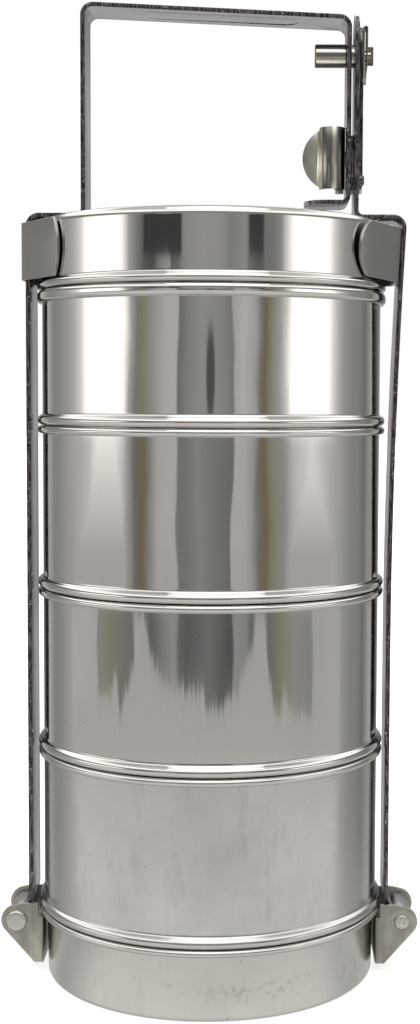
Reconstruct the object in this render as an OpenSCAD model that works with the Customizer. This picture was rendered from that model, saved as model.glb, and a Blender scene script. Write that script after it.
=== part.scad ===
// Four-tier tiffin carrier: nesting steel tiers and a deep lid on a shallow base,
// clamped by two side straps that swing on the base and lock under the handle.

/* [Containers] */
// Outer radius of the container walls
wall_r = 62.5; // [60:0.5:66]
// Sheet thickness of the tiers, lid and base
sheet = 0.8; // [0.6:0.1:1]
// Height of the base up to the first seam
base_h = 26.4; // [24:0.2:30]
// Height of each of the three lower tiers
tier_h = 59.5; // [50:0.5:65]
// Height of the top tier
top_tier_h = 49; // [40:0.5:60]
// Height of the lid above the last seam
lid_h = 25.6; // [24:0.2:30]
// How far each spigot reaches into the piece below
spigot_depth = 5; // [4:0.5:8]
// Radius by which every bead stands out from the wall
bead_out = 1.9; // [1.6:0.1:2]
// Outer radius of the base at the table
foot_r = 61.2; // [60:0.2:61.6]

/* [Straps] */
// Thickness of the strap steel
strap_t = 1.6; // [1.4:0.1:1.6]
// Width of both straps and of the handle
strap_w = 20; // [16:1:20]
// Outer face of the left strap from the centre
left_face_x = 67.7; // [67.5:0.1:68]
// Outer face of the right strap from the centre, below its bow
right_face_x = 66.9; // [66.8:0.1:67.5]
// How far the right strap bows out at its top
right_bow = 4.3; // [3:0.1:4.5]

/* [Hinges] */
// Distance of each hinge pin from the centre
pin_x = 72; // [71:0.2:73]
// Height of the hinge pins
pin_z = 20; // [18:0.5:21]
// Radius of the hinge pins
pin_r = 2.7; // [2.5:0.1:2.9]
// Sheet thickness of the hinge lugs
lug_t = 1.6; // [1.2:0.1:1.8]

/* [Handle] */
// Outer face of the handle's left leg from the centre
left_leg_x = 47.5; // [44:0.5:50]
// Outer face of the handle's right leg from the centre
right_leg_x = 50.7; // [50:0.1:51]
// Height of the handle's left top corner
handle_top_z = 357.5; // [350:0.5:360]
// Drop of the grip from its left to its right corner
grip_drop = 3.9; // [0:0.1:5]
// Height of the foot tab's middle plane
foot_tab_z = 286.5; // [286:0.5:288]
// Length of the foot tab
foot_tab_l = 16; // [12:1:18]

/* [Lock] */
// Height of the lock shaft
lock_z = 340.6; // [340:0.1:341]
// Radius of the knob and of its collar
knob_r = 4.2; // [3.8:0.1:4.4]
// Length of the knob
knob_l = 11.4; // [10:0.2:12]
// Height of the key across the slot
key_h = 6.8; // [6:0.2:7]
// Height of the upright's rounded top
upright_top_z = 355.6; // [352:0.2:356]
// Lower end of the thumb lever
lever_z = 292; // [291.6:0.2:293]
// Height of the thumb lever
lever_h = 22.5; // [20:0.5:23]

/* [Hidden] */
$fn = 96;

polished = "#d5d5d2";
brushed = "#b9b9b4";
satin = "#8d8b88";
dark_edge = "#6f6d6c";
gap = 0.1;             // running gap between faces that part or turn
over = 1;              // how far cutting shapes run past what they cut
side_gap = 0.6;        // room on each side of a strap in its lug
floor_corner_r = 2;    // turn from each floor into its wall
inner_r = wall_r - sheet;
rim_inner_r = inner_r - 0.2;
spigot_r = rim_inner_r - 0.4;
base_top_r = wall_r - 0.9;
base_spigot_r = base_top_r - sheet - 0.5;
rim_r = 1.45;          // rolled rim of the lower tiers
base_rim_r = 1.25;
base_neck_h = 1.2;     // where the base wall turns into its rim
lid_rim_r = 1.5;
lid_shoulder_r = 3;
top_rim_h = 4.7;       // taller rim of the top tier
seam = [for (i = [0:4]) base_h + (i < 4 ? i * tier_h : 3 * tier_h + top_tier_h)];
lid_top_z = seam[4] + lid_h;
flange_z = lid_top_z + 1 + strap_t / 2;
eye_r = pin_r + 0.05;
ear_in = strap_w / 2 + side_gap;
ear_out = ear_in + lug_t;
ear_x = wall_r + 1.2;     // face of the lug towards the base
ear_r = 5.6;
ear_tip_z = 4;
ear_rise = 6.3;           // top of the ear above the pin
lug_web_h = 17.5;
pin_head_r = 3.85;
pin_head_h = 1.1;
pin_dome_h = 0.6;
pin_tail_h = 0.5;
corner_r = 4;             // bends of the side straps over the lid, at mid thickness
bend_r = 2.4;             // bends from a strap into a leg
grip_r = 3.7;             // bends at the ends of the grip
left_x = -left_face_x + strap_t / 2;
right_x = -right_face_x + strap_t / 2;
bow_z = 120;              // height above which the right strap bows out
leg_l = -left_leg_x + strap_t / 2;
leg_r = right_leg_x - strap_t / 2;
grip_z = handle_top_z - strap_t / 2;
grip_angle = atan(grip_drop / (right_leg_x + left_leg_x));
foot_tab_r = 10.5;        // rounded end of the foot tab
foot_tab_sagitta = 8;
saddle_t = 1.3;
saddle_half_w = 11.2;
saddle_r = wall_r + 0.45; // inner face of the wings, clear of the lid
saddle_low = seam[4] + 3.6;
left_saddle_x = left_face_x + 1.35;
left_saddle_top = lid_top_z - 1.3;
left_wing_r = 18;
left_wing_over = 2.4;     // how far the wings run past where they touch the lid's round
right_saddle_x = right_face_x + 1.5;
right_saddle_top = lid_top_z - 3;
right_wing_r = 10.8;
right_wing_over = 4;
right_lean = 2.9;
upright_x = right_leg_x + 1.35 + strap_t / 2;
keeper_x = upright_x + strap_t / 2 + 0.1;
keeper_t = 1.4;
keeper_w = 14;
keeper_low = lever_z - 1.5;
keeper_top = upright_top_z - 4.2;
rivet_z = keeper_low + 5;
rivet_r = 1.58;
rivet_head_r = 2.4;
rivet_head_h = 0.9;
leaf_x = keeper_x + keeper_t + 0.05;
leaf_t = 0.5;
leaf_w = 9;
leaf_tip_w = 4.4;
leaf_low = lock_z - 10.2;
leaf_top = lock_z + 9.4;
leaf_gap = 0.7;        // room inside the leaf's fold
key_x = leaf_x + 2 * leaf_t + leaf_gap + 0.1;
key_t = 2;
key_w = 3.4;
shaft_r = 2;
shaft_in = 6;          // how far the shaft reaches into the knob
knob_chamfer = 0.5;
knob_recess = 1.2;
knob_wall = 1.4;
collar_t = 1.2;
slot_w = 5;
slot_low = lock_z - key_h / 2 - 0.4;
slot_high = lock_z + key_h / 2 + 3;
lever_pin_x = right_leg_x - strap_t - 2.1;
lever_pin_r = 1;
lever_t = 0.8;
bulge_r = 4.75;        // half-round shell of the thumb lever
barrel_r = 2;
flap_w = 6.2;
flap_r = 11.6;
window_z = lever_z + 8.3;
window_h = 6;
window_w = 3.2;
bracket_t = 1.2;
bracket_w = 12;
bracket_h = 20;
neck_w = 2.8;

function arc(cx, cy, r, a0, a1, n = 8) =
    [for (i = [0:n]) let (a = a0 + (a1 - a0) * i / n) [cx + r * cos(a), cy + r * sin(a)]];
function unit(v) = v / norm(v);
function side(p, i, d) =
    let (a = p[max(i - 1, 0)], b = p[min(i + 1, len(p) - 1)], u = unit(b - a))
    p[i] + d * [-u[1], u[0]];
function ribbon(p, t) = concat(
    [for (i = [0:len(p) - 1]) side(p, i, t / 2)],
    [for (i = [len(p) - 1:-1:0]) side(p, i, -t / 2)]);

// A flat strip bent along a path of [x, z] points, centred on y = 0
module strip(path, t, w) {
    rotate([90, 0, 0]) translate([0, 0, -w / 2]) linear_extrude(w) polygon(ribbon(path, t));
}

// A cylinder along Y from y0 to y1
module rod_y(x, z, r, y0, y1) {
    translate([x, y1, z]) rotate([90, 0, 0]) cylinder(r = r, h = y1 - y0);
}

// A cylinder along X from x0 to x1
module rod_x(x0, x1, z, r) {
    translate([x0, 0, z]) rotate([0, 90, 0]) cylinder(r = r, h = x1 - x0);
}

// Turns a piece drawn on the left round to the right
module half_turn() {
    rotate([0, 0, 180]) children();
}

// ---- containers ----

// Outline of a swaged bead at the foot of a piece, and of the groove inside it
function step_bead(z0) = arc(wall_r, z0 + gap + bead_out, bead_out, -90, 90);
function step_groove(z0) =
    arc(wall_r, z0 + gap + bead_out, bead_out - sheet, 130, 230);

// Outline of the rolled rim: a full round for the tiers, a taller one at the top
function round_rim(z1, r) =
    arc(wall_r + bead_out - r, z1 - gap / 2 - r, r, -70, 180, 12);
function tall_rim(z1) = concat(
    arc(wall_r, z1 - gap / 2 - top_rim_h + bead_out, bead_out, -90, 0),
    arc(wall_r, z1 - gap / 2 - bead_out, bead_out, 0, 90),
    [[rim_inner_r, z1 - gap / 2]]);

module tier(z0, z1, spigot, tall = false) {
    floor_z = z0 - spigot_depth;
    outer = concat(
        [[0, floor_z]],
        arc(spigot - floor_corner_r, floor_z + floor_corner_r, floor_corner_r, -90, 0, 4),
        [[spigot, z0 + gap]],
        step_bead(z0),
        tall ? tall_rim(z1) : round_rim(z1, rim_r));
    inner = concat(
        [[inner_r, z1 - top_rim_h]],
        [for (p = step_groove(z0)) [max(p[0], inner_r), p[1]]],
        [[spigot - sheet, z0 + gap + sheet]],
        arc(spigot - floor_corner_r, floor_z + floor_corner_r, floor_corner_r - sheet, 0, -90, 4),
        [[0, floor_z + sheet]]);
    rotate_extrude() polygon(concat(outer, inner));
}

module base_cup() {
    neck_z = base_h - 2 * base_rim_r - base_neck_h;
    color(brushed) rotate_extrude() polygon(concat(
        [[0, 0]],
        arc(foot_r - floor_corner_r, floor_corner_r, floor_corner_r, -90, 0, 4),
        [[base_top_r, neck_z]],
        round_rim(base_h, base_rim_r),
        [[base_top_r - sheet, neck_z + base_neck_h / 2]],
        arc(foot_r - floor_corner_r, floor_corner_r, floor_corner_r - sheet, 0, -90, 4),
        [[0, sheet]]));
}

module lid() {
    color(polished) rotate_extrude() polygon(concat(
        [[spigot_r - sheet, seam[4] - spigot_depth],
         [spigot_r, seam[4] - spigot_depth],
         [spigot_r, seam[4] + gap]],
        arc(wall_r + bead_out - lid_rim_r, seam[4] + gap + lid_rim_r, lid_rim_r, -90, 90),
        arc(wall_r - lid_shoulder_r, lid_top_z - lid_shoulder_r, lid_shoulder_r, 0, 90, 6),
        [[0, lid_top_z],
         [0, lid_top_z - sheet]],
        arc(wall_r - lid_shoulder_r, lid_top_z - lid_shoulder_r, lid_shoulder_r - sheet, 90, 0, 6),
        [[inner_r, seam[4] + 4],
         [spigot_r - sheet, seam[4] + 3]]));
}

// ---- hinges on the base ----

// Drop-shaped outline of one lug ear, in [x, z]
function ear_outline() =
    let (tip = [-ear_x - 1.5, ear_tip_z],
         d = tip - [-pin_x, pin_z],
         tangent = 360 + atan2(d[1], d[0]) - acos(ear_r / norm(d)))
    concat(arc(-pin_x, pin_z, ear_r, 100, tangent, 16),
        [tip, [-ear_x, ear_tip_z], [-ear_x, pin_z + ear_rise], [-pin_x + 2.5, pin_z + ear_rise]]);

// Bent sheet lug on the left of the base, with an ear on each side of the strap
module lug() {
    difference() {
        union() {
            for (y = [-ear_out, ear_in])
                translate([0, y + lug_t, 0]) rotate([90, 0, 0]) linear_extrude(lug_t)
                    polygon(ear_outline());
            translate([-ear_x, -ear_out, ear_tip_z]) cube([lug_t, 2 * ear_out, lug_web_h]);
        }
        rod_y(-pin_x, pin_z, pin_r + 0.02, -ear_out - over, ear_out + over);
    }
}

// Headed pin, its head on the front ear and its tail peened over the back one
module hinge_pin() {
    rod_y(-pin_x, pin_z, pin_r, -ear_out, ear_out + pin_tail_h);
    rod_y(-pin_x, pin_z, pin_head_r, -ear_out - pin_head_h, -ear_out);
    translate([-pin_x, -ear_out - pin_head_h, pin_z]) rotate([90, 0, 0])
        cylinder(r1 = pin_head_r, r2 = pin_head_r - 0.85, h = pin_dome_h);
    translate([-pin_x, ear_out + pin_tail_h, pin_z]) rotate([-90, 0, 0])
        cylinder(r1 = pin_r, r2 = pin_r - 0.6, h = 0.4);
}

module left_lug() { color(brushed) lug(); }
module right_lug() { color(brushed) half_turn() lug(); }
module left_hinge_pin() { color(brushed) hinge_pin(); }
module right_hinge_pin() { color(brushed) half_turn() hinge_pin(); }

// ---- side straps ----

// Rolled eye around the left pin
module eye() {
    difference() {
        rod_y(-pin_x, pin_z, eye_r + strap_t, -strap_w / 2, strap_w / 2);
        rod_y(-pin_x, pin_z, eye_r, -strap_w / 2 - over, strap_w / 2 + over);
        // the slit left where the curl ends
        translate([-pin_x, 0, pin_z]) rotate([0, -25, 0])
            translate([0.9, -strap_w / 2 - over, 0]) cube([3, strap_w + 2 * over, 6]);
    }
}

// Path from the eye up to the corner, for a strap whose middle plane ends at x
function riser(x_low, bow, z_top) = concat(
    [[-pin_x + eye_r + strap_t / 2, pin_z]],
    [for (i = [0:8]) [-pin_x + eye_r + strap_t / 2
        + (x_low + pin_x - eye_r - strap_t / 2) * (1 - cos(180 * i / 8)) / 2,
        pin_z + 2.5 + 6.5 * i / 8]],
    [for (z = [bow_z - 10:14:z_top]) [x_low - bow * pow(max(z - bow_z, 0) / (z_top - bow_z), 2), z]]);

module handle_strap() {
    path = concat(
        riser(left_x, 0, flange_z - corner_r),
        arc(left_x + corner_r, flange_z - corner_r, corner_r, 180, 90, 6),
        arc(leg_l - bend_r, flange_z + bend_r, bend_r, -90, 0, 6),
        arc(leg_l + grip_r, grip_z - grip_r, grip_r, 180, 90 - grip_angle, 8),
        arc(leg_r - grip_r, grip_z - grip_drop - grip_r, grip_r, 90 - grip_angle, 0, 8),
        arc(leg_r - bend_r, foot_tab_z + bend_r, bend_r, 0, -90, 6),
        [[leg_r - foot_tab_l, foot_tab_z]]);
    color(satin) difference() {
        union() {
            eye();
            strip(path, strap_t, strap_w);
        }
        rod_y(-pin_x, pin_z, eye_r, -strap_w, strap_w);
        rod_x(leg_r - 3, leg_r + 3, lock_z, shaft_r + 0.05);
        translate([leg_r - 3, -window_w / 2, window_z]) cube([6, window_w, window_h]);
        // rounded end of the foot tab
        translate([leg_r - foot_tab_l, 0, foot_tab_z - strap_t]) difference() {
            translate([-2, -strap_w, 0]) cube([foot_tab_sagitta, 2 * strap_w, 2 * strap_t]);
            translate([foot_tab_sagitta, 0, -over]) cylinder(r = foot_tab_r, h = 2 * strap_t + 2 * over);
        }
    }
}

// The strap on the right, drawn on the left and turned round, with its upright
module latch_strap() {
    path = concat(
        riser(right_x, right_bow, flange_z - corner_r),
        arc(right_x - right_bow + corner_r, flange_z - corner_r, corner_r, 177, 90, 6),
        arc(-upright_x - bend_r, flange_z + bend_r, bend_r, -90, 0, 6),
        [[-upright_x, upright_top_z]]);
    color(satin) half_turn() difference() {
        union() {
            eye();
            strip(path, strap_t, strap_w);
        }
        rod_y(-pin_x, pin_z, eye_r, -strap_w, strap_w);
        upright_cut(-upright_x, strap_t);
        key_slot(-upright_x, strap_t);
    }
}

// What rounds off the top of the upright
module upright_cut(x, t) {
    r = strap_w / 2;
    translate([x - t, 0, upright_top_z - r]) rotate([0, 90, 0]) difference() {
        translate([-r - over, -r - over, 0]) cube([r + over, 2 * r + 2 * over, 2 * t]);
        translate([0, 0, -over]) cylinder(r = r, h = 2 * t + 2 * over);
    }
}

// The slot that the key passes through
module key_slot(x, t) {
    translate([x - t, -slot_w / 2, slot_low]) cube([2 * t, slot_w, slot_high - slot_low]);
}

// ---- saddles over the lid's shoulder ----

// Web across the strap and two flat wings that lie along the lid.
// web_x is the web's outer face; round_r rounds the wings' free ends,
// which run past the tangent to the lid by wing_over.
module saddle(web_x, round_r, wing_over, low, high) {
    outer = saddle_r + saddle_t;
    reach = norm([web_x, saddle_half_w]);
    turn = atan2(saddle_half_w, web_x) + acos(outer / reach);
    wing_l = wing_over + sqrt(reach * reach - outer * outer);
    h = high - low;
    translate([-web_x, -saddle_half_w, low]) cube([saddle_t, 2 * saddle_half_w, h]);
    for (m = [0, 1]) mirror([0, m, 0])
        translate([-outer * cos(turn), -outer * sin(turn), low])
        rotate([0, 0, turn]) rotate([90, 0, 90]) translate([-wing_over, 0, 0])
        linear_extrude(saddle_t) intersection() {
            square([wing_l, h]);
            union() {
                translate([round_r, h / 2]) circle(r = round_r);
                translate([round_r, 0]) square([wing_l, h]);
            }
        }
}

module left_saddle() {
    color(satin) saddle(left_saddle_x, left_wing_r, left_wing_over, saddle_low, left_saddle_top);
}

// The right saddle leans out with the bowed strap, inside it
module right_saddle() {
    color(satin) half_turn()
        translate([-right_saddle_x, 0, saddle_low]) rotate([0, -right_lean, 0])
        translate([right_saddle_x, 0, -saddle_low])
        saddle(right_saddle_x, right_wing_r, right_wing_over, saddle_low, right_saddle_top);
}

// ---- lock on the upright ----

module keeper_plate() {
    r = keeper_w / 2;
    color(dark_edge) difference() {
        union() {
            rod_x(keeper_x, keeper_x + keeper_t, keeper_low + r, r);
            translate([keeper_x, -r, keeper_low + r])
                cube([keeper_t, keeper_w, keeper_top - keeper_low - 2 * r]);
            rod_x(keeper_x, keeper_x + keeper_t, keeper_top - r, r);
        }
        key_slot(keeper_x, keeper_t);
        rod_x(keeper_x - over, keeper_x + keeper_t + over, rivet_z, rivet_r + 0.02);
    }
}

module keeper_rivet() {
    color(brushed) {
        rod_x(keeper_x, keeper_x + keeper_t, rivet_z, rivet_r);
        translate([keeper_x + keeper_t, 0, rivet_z]) rotate([0, 90, 0])
            cylinder(r1 = rivet_head_r, r2 = rivet_head_r - 0.9, h = rivet_head_h);
    }
}

module leaf_spring() {
    inner = leaf_x + leaf_t / 2;
    bow = inner + leaf_t + leaf_gap;
    fold_r = (bow - inner) / 2;
    path = concat(
        [[inner, leaf_low]],
        arc(inner + fold_r, leaf_top, fold_r, 180, 0, 8),
        [[bow, lock_z + 2],
         [bow - 0.15, lock_z - 3],
         [bow - 0.4, lock_z - 7.5],
         [bow - 0.5, leaf_low]]);
    color(brushed) difference() {
        intersection() {
            strip(path, leaf_t, leaf_w);
            translate([leaf_x - over, 0, 0]) rotate([90, 0, 90]) linear_extrude(5) polygon([
                [-leaf_tip_w / 2, leaf_low], [leaf_tip_w / 2, leaf_low],
                [leaf_w / 2, leaf_low + 5], [leaf_w / 2, upright_top_z],
                [-leaf_w / 2, upright_top_z], [-leaf_w / 2, leaf_low + 5]]);
        }
        translate([leaf_x - over, -slot_w / 2, slot_low]) cube([4, slot_w, slot_high - slot_low]);
    }
}

// ---- lock on the handle's leg ----

module lock_shaft() {
    color(brushed) {
        rod_x(right_leg_x - strap_t - shaft_in, key_x + key_t / 2, lock_z, shaft_r);
        intersection() {
            translate([key_x, -key_w / 2, lock_z - key_h / 2]) cube([key_t, key_w, key_h]);
            rod_x(key_x - over, key_x + key_t + over, lock_z, key_h / 2);
        }
    }
}

module lock_knob() {
    x1 = right_leg_x - strap_t - 0.05;
    x0 = x1 - knob_l;
    color(brushed) difference() {
        union() {
            rod_x(x0 + knob_chamfer, x1, lock_z, knob_r);
            translate([x0, 0, lock_z]) rotate([0, 90, 0])
                cylinder(r1 = knob_r - knob_chamfer, r2 = knob_r, h = knob_chamfer);
        }
        rod_x(right_leg_x - strap_t - shaft_in - 0.1, x1 + over, lock_z, shaft_r + 0.02);
        rod_x(x0 - over, x0 + knob_recess, lock_z, knob_r - knob_wall);
    }
}

module lock_collar() {
    color(brushed) difference() {
        rod_x(right_leg_x + 0.05, right_leg_x + 0.05 + collar_t, lock_z, knob_r);
        rod_x(right_leg_x - over, right_leg_x + collar_t + over, lock_z, shaft_r + 0.02);
    }
}

// ---- thumb lever on the handle's leg ----

module thumb_lever() {
    bulge_x = right_leg_x - strap_t - 0.1 - bulge_r;
    flap_x = bulge_x - bulge_r;
    tip_x = flap_x - flap_w;
    color(brushed) difference() {
        union() {
            // half-round shell and the barrel behind it
            translate([bulge_x, 0, lever_z]) intersection() {
                difference() {
                    cylinder(r = bulge_r, h = lever_h);
                    translate([0, 0, -over]) cylinder(r = bulge_r - lever_t, h = lever_h + 2 * over);
                }
                translate([-2 * bulge_r, -2 * bulge_r, 0]) cube([4 * bulge_r, 2 * bulge_r, lever_h]);
            }
            translate([lever_pin_x, 0, lever_z]) cylinder(r = barrel_r, h = lever_h);
            // flap with a rounded free edge
            intersection() {
                translate([tip_x, -lever_t / 2, lever_z]) cube([flap_w + lever_t, lever_t, lever_h]);
                rod_y(tip_x + flap_r, lever_z + lever_h / 2, flap_r, -over, over);
            }
        }
        translate([lever_pin_x, 0, lever_z - over]) cylinder(r = lever_pin_r + 0.06, h = lever_h + 2 * over);
        translate([lever_pin_x, 0, window_z - 0.1]) cylinder(r = barrel_r + 0.4, h = window_h + 0.2);
    }
}

module lever_pin() {
    color(brushed) {
        translate([lever_pin_x, 0, lever_z - 0.6]) cylinder(r = lever_pin_r, h = lever_h + 1);
        translate([lever_pin_x, 0, lever_z - 1.4]) cylinder(r = lever_pin_r + 0.5, h = 1.2);
    }
}

module lever_bracket() {
    knuckle_z = window_z + 0.2;
    knuckle_h = window_h - 0.4;
    color(dark_edge) difference() {
        union() {
            translate([right_leg_x, -bracket_w / 2, lever_z - 1]) cube([bracket_t, bracket_w, bracket_h]);
            translate([lever_pin_x, -neck_w / 2, knuckle_z])
                cube([right_leg_x + 0.1 - lever_pin_x, neck_w, knuckle_h]);
            translate([lever_pin_x, 0, knuckle_z]) cylinder(r = barrel_r, h = knuckle_h);
        }
        translate([lever_pin_x, 0, window_z - over]) cylinder(r = lever_pin_r, h = window_h + 2 * over);
    }
}

module tier_1() { color(polished) tier(seam[0], seam[1], base_spigot_r); }
module tier_2() { color(polished) tier(seam[1], seam[2], spigot_r); }
module tier_3() { color(polished) tier(seam[2], seam[3], spigot_r); }
module tier_4() { color(polished) tier(seam[3], seam[4], spigot_r, tall = true); }

base_cup();
left_lug();
right_lug();
left_hinge_pin();
right_hinge_pin();
tier_1();
tier_2();
tier_3();
tier_4();
lid();
handle_strap();
latch_strap();
left_saddle();
right_saddle();
keeper_plate();
keeper_rivet();
leaf_spring();
lock_shaft();
lock_knob();
lock_collar();
thumb_lever();
lever_pin();
lever_bracket();
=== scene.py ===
import math

import bpy
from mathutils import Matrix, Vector


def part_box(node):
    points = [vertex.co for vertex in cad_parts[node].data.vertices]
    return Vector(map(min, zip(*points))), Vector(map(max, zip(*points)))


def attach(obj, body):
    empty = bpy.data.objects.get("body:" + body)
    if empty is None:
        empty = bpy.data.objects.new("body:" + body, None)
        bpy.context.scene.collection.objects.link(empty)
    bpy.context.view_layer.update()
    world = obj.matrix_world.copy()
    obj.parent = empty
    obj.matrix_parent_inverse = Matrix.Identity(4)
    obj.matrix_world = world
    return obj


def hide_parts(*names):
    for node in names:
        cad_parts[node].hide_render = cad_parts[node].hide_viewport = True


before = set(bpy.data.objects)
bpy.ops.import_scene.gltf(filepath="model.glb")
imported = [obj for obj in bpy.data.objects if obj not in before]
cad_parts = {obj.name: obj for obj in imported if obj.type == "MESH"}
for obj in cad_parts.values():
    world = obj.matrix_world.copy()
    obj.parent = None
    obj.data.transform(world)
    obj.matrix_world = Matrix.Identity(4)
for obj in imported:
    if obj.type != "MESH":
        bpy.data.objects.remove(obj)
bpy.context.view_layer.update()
mm = 0.001


def objectMode():
    if bpy.context.object and bpy.context.object.mode != "OBJECT":
        bpy.ops.object.mode_set(mode="OBJECT")


def pickOnly(piece):
    objectMode()
    bpy.ops.object.select_all(action="DESELECT")
    piece.select_set(True)
    bpy.context.view_layer.objects.active = piece


def arc(cx, cy, r, a0, a1, n=10):
    angles = [math.radians(a0 + (a1 - a0) * i / n) for i in range(n + 1)]
    return [(cx + r * math.cos(a), cy + r * math.sin(a)) for a in angles]


def onFront(points, y=0.0):
    # [x, z] points in mm to places in metres
    return [Vector((x * mm, y * mm, z * mm)) for x, z in points]


def onSide(points, x=0.0):
    # [y, z] points in mm to places in metres
    return [Vector((x * mm, y * mm, z * mm)) for y, z in points]


def drawLine(name, places):
    # one vertex, then one extrude for each further place; ends in edit mode, all selected
    objectMode()
    bpy.ops.object.select_all(action="DESELECT")
    bpy.ops.mesh.primitive_plane_add(size=mm, location=places[0])
    piece = bpy.context.object
    piece.name = name
    bpy.ops.object.transform_apply(location=True, rotation=True, scale=True)
    bpy.ops.object.mode_set(mode="EDIT")
    bpy.ops.mesh.select_mode(type="VERT")
    bpy.ops.mesh.select_all(action="SELECT")
    bpy.ops.mesh.merge(type="CENTER")
    last = places[0]
    for place in places[1:]:
        bpy.ops.mesh.extrude_region_move(TRANSFORM_OT_translate={"value": place - last})
        last = place
    bpy.ops.mesh.select_all(action="SELECT")
    return piece


def spinLine(name, places, center, axis, steps):
    piece = drawLine(name, places)
    bpy.ops.mesh.spin(steps=steps, angle=2 * math.pi, center=center, axis=axis)
    bpy.ops.mesh.select_all(action="SELECT")
    bpy.ops.mesh.remove_doubles(threshold=0.004 * mm)
    bpy.ops.mesh.normals_make_consistent(inside=False)
    objectMode()
    return piece


def extrudeLine(name, places, move):
    piece = drawLine(name, places)
    bpy.ops.mesh.extrude_region_move(TRANSFORM_OT_translate={"value": move})
    objectMode()
    return piece


def fillOutline(name, places):
    piece = drawLine(name, places)
    bpy.ops.mesh.edge_face_add()
    objectMode()
    return piece


def useModifier(piece, kind, **settings):
    pickOnly(piece)
    modifier = piece.modifiers.new(kind.title(), kind)
    for key, value in settings.items():
        setattr(modifier, key, value)
    bpy.ops.object.modifier_apply(modifier=modifier.name)


def thicken(piece, thickness, offset=0.0):
    useModifier(piece, "SOLIDIFY", thickness=thickness * mm, offset=offset, use_even_offset=True)
    faceOut(piece)


def faceOut(piece):
    pickOnly(piece)
    bpy.ops.object.mode_set(mode="EDIT")
    bpy.ops.mesh.select_all(action="SELECT")
    bpy.ops.mesh.normals_make_consistent(inside=False)
    objectMode()


def soften(piece, width, segments=3, angle=32):
    useModifier(piece, "BEVEL", width=width * mm, segments=segments, limit_method="ANGLE",
                angle_limit=math.radians(angle), use_clamp_overlap=True, harden_normals=False)


def cut(piece, cutter, operation="DIFFERENCE"):
    useModifier(piece, "BOOLEAN", object=cutter, operation=operation, solver="EXACT")
    bpy.data.objects.remove(cutter)


def pushOut(piece, move):
    # a flat face becomes a closed solid
    pickOnly(piece)
    bpy.ops.object.mode_set(mode="EDIT")
    bpy.ops.mesh.select_all(action="SELECT")
    bpy.ops.mesh.extrude_region_move(TRANSFORM_OT_translate={"value": Vector(move) * mm})
    faceOut(piece)
    return piece


def slab(name, outline, y0, y1):
    return pushOut(fillOutline(name, onFront(outline, y0)), (0, y1 - y0, 0))


def slabX(name, outline, x0, x1):
    return pushOut(fillOutline(name, onSide(outline, x0)), (x1 - x0, 0, 0))


def turnPiece(piece, angle, axis, center):
    # moves the mesh, not the object: a turn by angle in degrees about an axis through center
    pickOnly(piece)
    bpy.ops.object.mode_set(mode="EDIT")
    bpy.ops.mesh.select_all(action="SELECT")
    # with no window the operator turns the other way, so the angle is negated
    bpy.ops.transform.rotate(value=-math.radians(angle), orient_axis=axis, orient_type="GLOBAL",
                             center_override=center)
    objectMode()


def selectFaces(piece, test):
    pickOnly(piece)
    bpy.ops.object.mode_set(mode="EDIT")
    bpy.ops.mesh.select_all(action="DESELECT")
    bpy.ops.mesh.select_mode(type="FACE")
    objectMode()
    for face in piece.data.polygons:
        face.select = bool(test(face.center / mm, face.normal))
    bpy.ops.object.mode_set(mode="EDIT")


def paint(piece, material, edgeMaterial=None, edgeTest=None):
    piece.data.materials.clear()
    piece.data.materials.append(skin[material])
    if edgeMaterial:
        piece.data.materials.append(skin[edgeMaterial])
        selectFaces(piece, edgeTest)
        piece.active_material_index = 1
        bpy.ops.object.material_slot_assign()
        objectMode()


def finish(piece, body, slotName, *nodes, angle=30):
    pickOnly(piece)
    bpy.ops.object.shade_smooth_by_angle(angle=math.radians(angle))
    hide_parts(*nodes)
    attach(piece, body)
    print("made", piece.name, len(piece.data.polygons), "faces")


def lowOf(node):
    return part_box(node)[0] / mm


def highOf(node):
    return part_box(node)[1] / mm


def middleOf(node):
    return (lowOf(node) + highOf(node)) / 2


# heights and places taken from the frame, in mm
spigotDepth = 5.0
beadOut = 1.9
sheet = 0.8
wallR = highOf("tier_2").x - beadOut
lidTop = highOf("lid").z
pinX = middleOf("right_hinge_pin").x
pinZ = middleOf("right_hinge_pin").z
seam = [lowOf(node).z + spigotDepth for node in ("tier_1", "tier_2", "tier_3", "tier_4", "lid")]


def makeCamera():
    view = {"place": (0.0200, -0.6042, 0.2156), "pitch": 4.075, "roll": 0.28, "lens": 56.8,
            "shift": -0.054, "near": 0.01}
    bpy.ops.object.camera_add(location=view["place"])
    camera = bpy.context.object
    camera.rotation_euler = (math.radians(90 - view["pitch"]), -math.radians(view["roll"]), 0)
    camera.data.lens = view["lens"]
    camera.data.shift_x = view["shift"]
    camera.data.clip_start = view["near"]
    bpy.context.scene.camera = camera


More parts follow.
